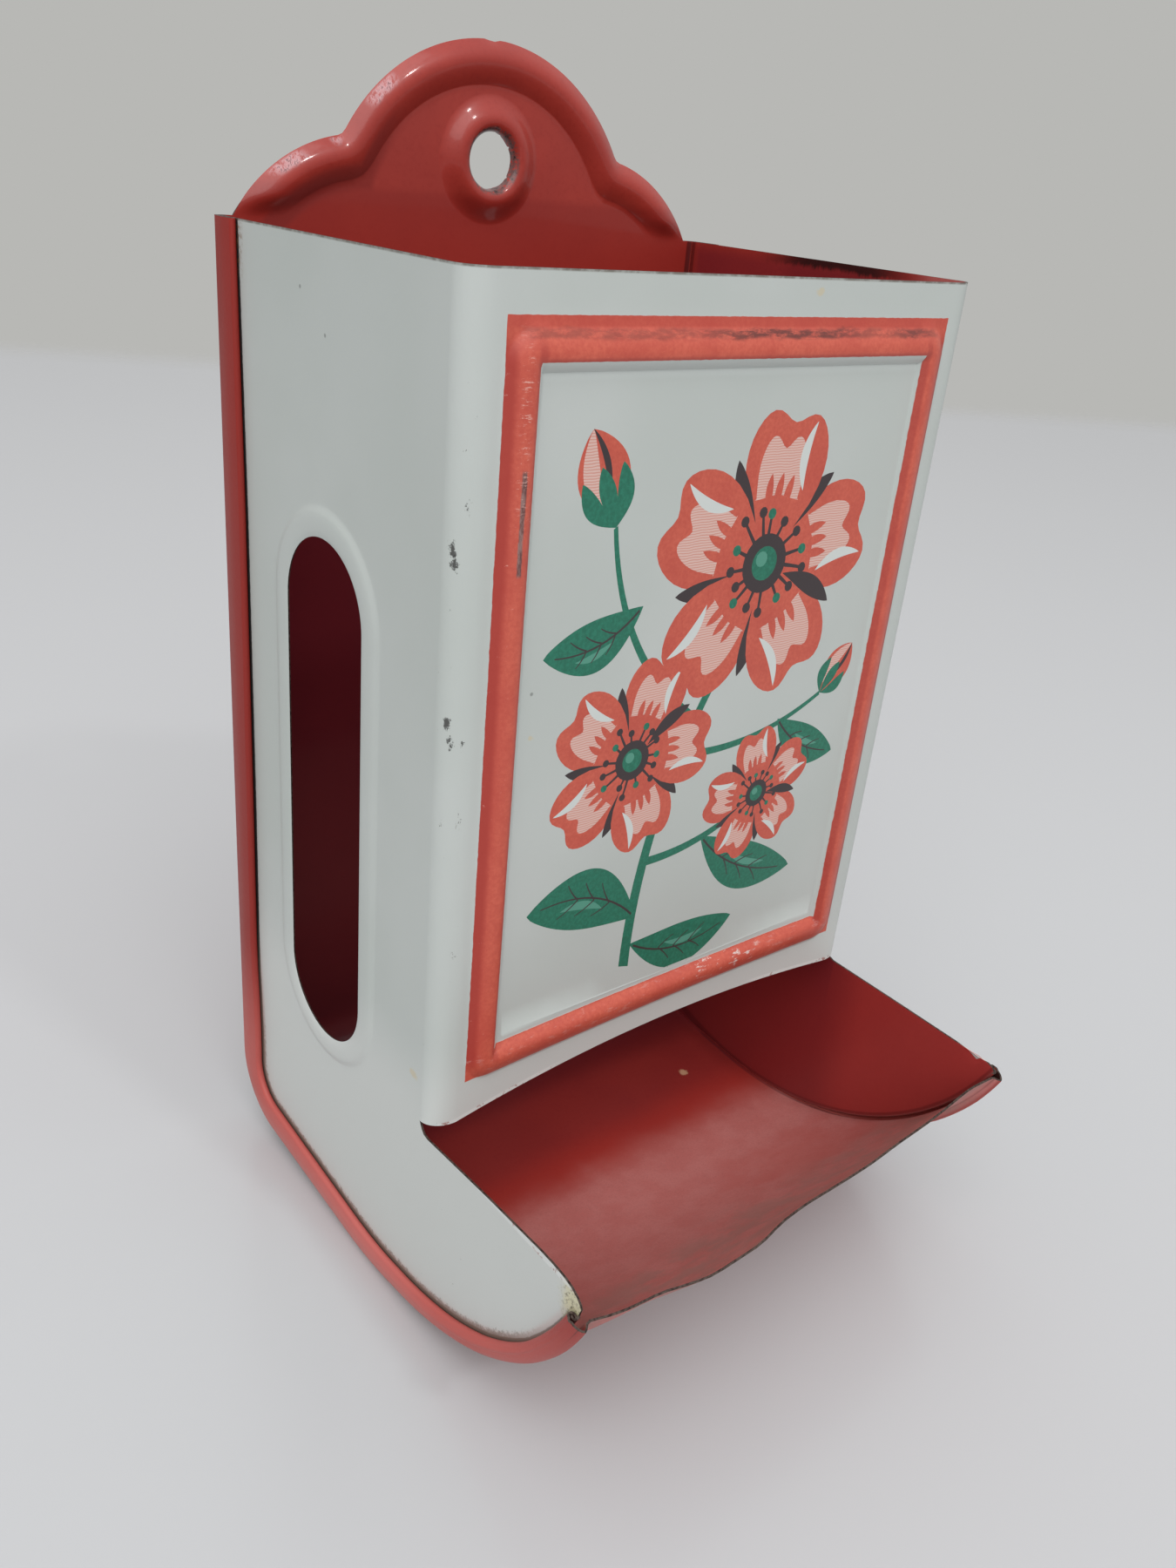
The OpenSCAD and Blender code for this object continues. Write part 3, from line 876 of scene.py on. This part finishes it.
def across_hook(column, row):
    """Place across the hooked edge, depth inside the tray's face, and nearness to the seam."""
    width = seam_width(row)
    if column < len(beside_seam):
        beside = beside_seam[column]
        least = least_depth + least_step * (len(beside_seam) - column)
        return wall_mid, max(width + beside, least), 1 - max(0.0, beside) / 2
    out = wall_half + hook_out * seam_squeeze(row)
    end = width - float(np.interp(width, (1.3, 3), (0.3, 1.0)))
    px, depth = ((wall_mid, 0.8), (wall_half, 0.62), (wall_half + 0.2, 0.58), (out - 0.1, 0.64),
                 (out, 0.8), (out, end))[column - len(beside_seam)]
    return px, depth, 1.0


cheek_lines = {  # the left cheek's tip is bent up and rounded, the right one runs straight
    -1: ((87.34, -106.95), (87.1, -106.45), (86.4, -105.79), (85.3, -105.2), (83.9, -104.85),
         (81.8, -104.68), (79.3, -104.68), (74.0, -104.98), (68.8, -105.27), (61.0, -105.88),
         (54.8, -106.38), (53.9, -106.2), (53.4, -105.7)),
    1: ((87.3, -107.7), (86.9, -107.2), (86.0, -106.9), (80.0, -106.75), (68.8, -106.6),
        (54.8, -106.5), (53.9, -106.2), (53.4, -105.7)),
}
last = len(stations) - 1
shell_pieces = [face, art]
for side in (1, -1):
    rings = [window_ring(grow) for grow, _ in band_rows]
    shell_pieces.append(wrapped_grid(
        "band", len(rings[0]), len(band_rows),
        lambda c, r: (side * (wall_mid + band_rows[r][1]), -rings[r][c][0], rings[r][c][1])))

    def hook_place(column, row):
        px, depth, near = across_hook(column, row)
        forward, up = on_profile(row, depth)
        return side * px, -forward, up, near

    shell_pieces.append(wrapped_grid("hook", hook_steps, len(stations), hook_place))
    rim_line = [(float(v), 0.0) for v in np.linspace(across_hook(0, 0)[1], flat_end, 12)]
    cheek = [on_profile(last, 0.8), *cheek_lines[side], (flat_end, front_low)]
    for name, line in (("rim_line", rim_line), ("cheek", cheek)):
        wire = bpy.data.objects.new(name, bpy.data.meshes.new(name))
        bpy.context.scene.collection.objects.link(wire)
        ends = [(side * wall_mid * mm, -f * mm, (u - rim_drop) * mm) for f, u in line]
        wire.data.from_pydata(ends, [(k, k + 1) for k in range(len(line) - 1)], [])
        shell_pieces.append(wire)
front_shell = welded("front_shell_sheet", shell_pieces)
for side in (1, -1):
    fill_flat(front_shell, lambda x, y, z: abs(x * side - wall_mid) < 0.004
              and not (z > -0.01 and -y < across_hook(0, 0)[1] - 0.05))

# Off-white enamel with the coral frame, the printed spray, its wear, and painted light and shade in
# places
enamel, shader, place, x, y, z = new_finish("white_enamel_print")
tree = shader.id_data
cloud = place.noise(0.03, 3.0)
grain = place.noise(2.0, 3.0, 0.6)
fine = place.noise(7.0, 2.0, 0.6)
white = cloud.rise(0.3, 0.7).blend(shade(180, 186, 182), shade(186, 191, 188))
speck = place.noise(1.3, 5.0, 0.75).rise(0.735, 0.75)
white = (speck * 0.55).blend(white, shade(120, 118, 112))
stain = place.noise(0.5, 4.0, 0.7).rise(0.74, 0.78)
white = (stain * 0.5).blend(white, shade(196, 186, 150))
# Painted light: the white grows paler towards the bottom, as if lit by the table below
white = (z.rise(-91, -106) * 0.8).blend(white, shade(200, 203, 200))

waver = (place.noise(0.9, 2.0) - 0.5) * 0.16
front = (y * -1).rise(54.9, 55.0)
across, up = abs(x) + waver, z + waver
outer = across.rise(stripe_half + print_soft, stripe_half - print_soft)
outer = outer * up.between(stripe_low, stripe_top, print_soft)
inner = (x + waver).between(*inner_sides, print_soft) * up.between(*inner_ends, print_soft)
stripe = front * outer * (1 - inner)
# Painted light: the white just below the top bead is lightened against the bead's shade
painted_light_below_top_bead = front * across.rise(31, 30) * z.between(-10.6, -9.0, 0.5)
white = (painted_light_below_top_bead * 0.6).blend(white, shade(198, 204, 201))
coral = grain.rise(0.3, 0.75).blend(shade(187, 79, 62), shade(199, 93, 73))
coral = (place.noise(0.16, 3.0).rise(0.4, 0.7) * 0.5).blend(coral, shade(178, 68, 55))
pin = fine.rise(0.66, 0.72)
coral = (pin * 0.3).blend(coral, shade(216, 142, 124))
upright = up.rise(-5.5, -8.5) * up.rise(-97.5, -94.5)
outer_band = across.rise(33.6, 34.4) * upright
framed = (outer_band * 0.8).blend(coral, shade(148, 38, 29))
framed = (across.rise(32.8, 34.2) * upright * 0.35).blend(framed, shade(172, 54, 43))
# Painted shade: a darker line along the frame bead's inner foot
bead_foot_shade = across.between(30.6, 31.6, 0.25) * upright
bead_foot_shade = bead_foot_shade + up.between(-9.0, -8.5, 0.2) * across.rise(31, 30)
framed = (bead_foot_shade * 0.5).blend(framed, shade(150, 44, 40))
framed = (up.rise(-6.0, -5.2) * 0.5).blend(framed, shade(176, 62, 52))
colour = stripe.blend(white, framed)

ink = Wire(tree.nodes.new("ShaderNodeAttribute").outputs["Vector"])
ink.socket.node.attribute_name = "ink"
parts = ink.node("ShaderNodeSeparateXYZ", {}, {0: ink}).socket.node
red, green, black = (Wire(out) for out in parts.outputs)
hatch = (z * 3.1 + (place.noise(0.5, 2.0) - 0.5) * 1.2).math("FRACT").between(0.1, 0.5, 0.12)
tint = hatch.blend(shade(211, 178, 168), shade(201, 142, 130))
colour = (red.rise(0.3, 0.4) * front).blend(colour, tint)
colour = (red.rise(0.7, 0.8) * front).blend(colour, coral)
leaf_green = grain.rise(0.35, 0.7).blend(shade(18, 100, 78), shade(30, 116, 92))
colour = (green.rise(0.3, 0.4) * front).blend(colour, shade(76, 142, 122))
colour = (green.rise(0.7, 0.8) * front).blend(colour, leaf_green)
colour = (black.rise(0.3, 0.4) * front).blend(colour, shade(200, 205, 202))
colour = (black.rise(0.7, 0.8) * front).blend(colour, shade(52, 42, 44))

# Wear on the frame: a rubbed black line on the top bead, a long scratch and light
# flecks on the left bar, and paint chipped off the lower bead
line_z = z + (place.noise(0.35, 3.0) - 0.5) * 1.0
smudge = front * line_z.between(-6.6, -5.6, 0.25) * across.rise(34, 32)
streak = place.noise(0.5, 6.0, 0.75, (0.7, 1, 2.6)).rise(0.34, 0.56)
heavy = 0.5 + x.between(-6, 16, 5) * 0.5 + x.between(25, 31, 3) * 0.4
colour = (smudge * streak * heavy * 0.85).blend(colour, shade(72, 30, 28))
on_left = front * x.between(-33.4, -32.2, 0.25)
fray = place.noise(1.6, 4.0, 0.7, (1, 1, 0.25))
scratch = front * (x + (fray - 0.5) * 0.5).between(-32.85, -32.3, 0.1)
scratch = scratch * z.between(-30.8, -19.6, 0.3)
metal = fray.rise(0.45, 0.6).blend(shade(72, 60, 60), shade(128, 112, 108))
colour = (scratch * 0.85).blend(colour, metal)
fleck = place.noise(1.3, 5.0, 0.75, (0.5, 1, 3.0)).rise(0.57, 0.62)
fleck = fleck * on_left * z.between(-24, -8, 4)
colour = (fleck * 0.8).blend(colour, shade(222, 176, 164))
tick = place.noise(1.0, 5.0, 0.75, (0.5, 1, 1.2)).rise(0.66, 0.69)
tick = tick * front * x.between(-35, -31, 0.4)
colour = (tick * 0.6).blend(colour, shade(214, 158, 146))
low_bead = front * z.between(-97.6, -94.4, 0.3) * (0.15 + x.between(5, 17, 3) * 0.85)
flake = place.noise(0.8, 6.0, 0.75, (0.5, 1, 1.5)).rise(0.56, 0.62)
colour = (low_bead * flake * 0.9).blend(colour, shade(214, 204, 198))

# Wear on the white: chips along the folded corner, a stain or two, dirt packed beside the seam with
# painted shade in its gap, a painted pink glow by its foot, rust by its top, yellowed paint on the
# tips of the cheeks and a painted highlight along the lower edge
bend_zone = (y * -1).rise(52.5, 53.5) * abs(x).rise(36.5, 37.5)
chip = place.noise(0.7, 6.0, 0.8, (1, 1, 0.6)).rise(0.67, 0.70)
colour = (bend_zone * chip * 0.85).blend(colour, shade(70, 60, 56))
ragged_by = (place.noise(1.5, 4.0, 0.8, (1, 1, 0.7)) - 0.5) * 3.0
for spot, size in (((-39.4, -54.1, -27.7), 0.5), ((-39.2, -54.3, -29.3), 0.4),
                   ((-38.2, -54.8, -23.2), 0.4), ((-39.3, -54.2, -47.4), 0.4),
                   ((-38.9, -54.4, -49.9), 0.5), ((-37.8, -55.0, -49.9), 0.35)):
    chipped = (place.from_point(spot, (1, 1, 0.6)) + ragged_by * 0.7).rise(size, size * 0.5)
    colour = (chipped * 0.9).blend(colour, shade(46, 44, 42))
for spot in ((-40, -37.7, -50.3), (-40, -21.8, -5.8), (-40, -27.7, -10.3), (-28.8, -55.6, -45.4)):
    colour = (place.from_point(spot).rise(0.32, 0.12) * 0.6).blend(colour, shade(90, 92, 88))
for spot, size in (((-40, -51.0, -98.2), 1.2), ((9.6, -55.6, -1.6), 0.8),
                   ((-28.5, -55.6, -51), 0.5)):
    stained = (place.from_point(spot, (1, 1, 1.4)) + ragged_by * 0.6).rise(size, size * 0.4)
    colour = (stained * 0.55).blend(colour, shade(196, 180, 140))
seam = Wire(tree.nodes.new("ShaderNodeAttribute").outputs["Fac"])
seam.socket.node.attribute_name = "seam"
# Beside the seam: near-black painted shade in the gap between fold and wall, turning to grey-green
# dirt lower down
gap_dirt_and_shade = seam + (place.noise(1.2, 4.0, 0.7) - 0.5) * 0.16
grime_and_gap_shade = z.rise(-96, -112).blend(shade(24, 20, 20), shade(90, 96, 84))
colour = (gap_dirt_and_shade.rise(0.80, 0.88) * 0.95).blend(colour, grime_and_gap_shade)
foot_dirt = (seam + (place.noise(1.3, 6.0, 0.85) - 0.5) * 2.0).rise(0.45, 0.7) * z.rise(-112, -126)
colour = (foot_dirt * 0.75).blend(colour, shade(88, 100, 86))
# Painted reflected light: a pink glow on the white beside the seam's foot, as if cast by the red
# strip
glow = seam.rise(0.3, 0.7) * z.rise(-100, -116)
colour = (glow * 0.25).blend(colour, shade(196, 140, 134))
rusty = seam.rise(0.15, 0.6) * z.rise(-9, -1) * place.noise(0.9, 4.0, 0.75).rise(0.46, 0.6)
colour = (rusty * 0.75).blend(colour, shade(120, 92, 56))
tip = place.from_point((-40, -87.2, -107.2), (0.5, 1, 0.8)) + (place.noise(0.6, 4.0, 0.7) - 0.5) * 3
colour = (tip.rise(4.4, 1.8) * 0.75).blend(colour, shade(206, 198, 156))
tip_fleck = tip.rise(4.4, 2.0) * place.noise(1.8, 5.0, 0.8).rise(0.53, 0.58)
colour = (tip_fleck * 0.75).blend(colour, shade(86, 76, 54))
rim_rust = z.rise(-0.32, -0.12) * (0.5 + place.noise(0.5, 4.0, 0.7).rise(0.35, 0.6) * 0.5)
colour = (rim_rust * 0.8).blend(colour, shade(88, 72, 60))
# Painted highlight: a pale band along the front panel's lower edge, with real chips in it
low_edge = z - (front_low + low_lift) + (x * x) * (low_lift / face_half ** 2)
lower_edge_highlight = front * low_edge.between(-0.5, 0.6, 0.12)
colour = (lower_edge_highlight * 0.5).blend(colour, shade(222, 224, 222))
hem_chip = lower_edge_highlight * place.noise(0.6, 5.0, 0.75).rise(0.56, 0.6)
colour = (hem_chip * 0.8).blend(colour, shade(150, 96, 86))
roughness = 0.4 + grain * 0.1 + stripe * 0.04
finish_with(shader, colour, roughness, fine * 0.25 + grain * 0.5 + cloud * 6.0 + stripe * 0.3, 0.02)
shader.inputs["Coat Weight"].default_value = 0.05
shader.inputs["Coat Roughness"].default_value = 0.2

given_thickness(front_shell, [enamel, lacquer, cut_edge], 1, 2,
                lambda p: p - Vector((0, -0.028, p.z)))
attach(front_shell, "root")
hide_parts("front_shell")

# ---- Table ------------------------------------------------------------------------
# A pale table top with a soft gloss. Its far edge lies well behind the holder and is
# blurred, so that it runs softly into the wall.
table_z = cad_box[0].z
edge_far = 0.781
bpy.ops.object.select_all(action="DESELECT")
bpy.ops.mesh.primitive_plane_add(size=8, location=(0, 0, table_z))
table = bpy.context.object
table.name = "table"
top = bpy.data.materials.new("table_top")
top.use_nodes = True
tree = top.node_tree
shader = tree.nodes["Principled BSDF"]
shader.inputs["Base Color"].default_value = shade(186, 187, 189)
shader.inputs["Roughness"].default_value = 0.25
spot = Wire(tree.nodes.new("ShaderNodeNewGeometry").outputs["Position"])
parts = spot.node("ShaderNodeSeparateXYZ", {}, {0: spot}).socket.node
reach = Wire(parts.outputs[0]) * 0.5 + Wire(parts.outputs[1]) * 0.866
beyond = reach.rise(edge_far - 0.05, edge_far + 0.05)
clear = spot.node("ShaderNodeBsdfTransparent", {}, {})
joined = spot.node("ShaderNodeMixShader", {}, {0: beyond, 1: Wire(shader.outputs[0]), 2: clear})
tree.links.new(joined.socket, tree.nodes["Material Output"].inputs["Surface"])
table.data.materials.append(top)

# ---- Light ------------------------------------------------------------------------
# Soft room light: a wide lamp above on the left, pale walls that darken downwards,
# and a small lamp that gives the lacquer its highlights.
world = bpy.data.worlds.new("room")
bpy.context.scene.world = world
world.use_nodes = True
tree = world.node_tree
around = tree.nodes["Background"]
around.inputs["Color"].default_value = (1.0, 1.0, 1.0, 1.0)
towards = Wire(tree.nodes.new("ShaderNodeTexCoord").outputs["Generated"])
parts = towards.node("ShaderNodeSeparateXYZ", {}, {0: towards}).socket.node
lift = Wire(parts.outputs[2])
strength = 0.15 + lift.rise(-0.03, 0.03) * 0.3 + lift.rise(0.0, 0.9) * 0.5
tree.links.new(strength.socket, around.inputs["Strength"])
paths = tree.nodes.new("ShaderNodeLightPath")
seen = Wire(paths.outputs["Is Camera Ray"])
wall = seen.node("ShaderNodeBackground", {}, {"Color": shade(184, 184, 181), "Strength": 1.0})
either = seen.node("ShaderNodeMixShader", {}, {0: seen, 1: Wire(around.outputs[0]), 2: wall})
tree.links.new(either.socket, tree.nodes["World Output"].inputs["Surface"])
for name, spot, size, power in (("window", (-0.75, -0.95, 1.3), 1.8, 22.0),
                                ("bulb", (0.12, -0.85, 0.85), 0.08, 1.7)):
    bpy.ops.object.light_add(type="AREA", location=spot)
    lamp = bpy.context.object
    lamp.name = name
    lamp.data.size = size
    lamp.data.energy = power
    towards_holder = Vector((0, -0.03, -0.07)) - Vector(spot)
    lamp.rotation_euler = towards_holder.to_track_quat("-Z", "Y").to_euler()
bpy.context.scene.view_settings.view_transform = "Standard"
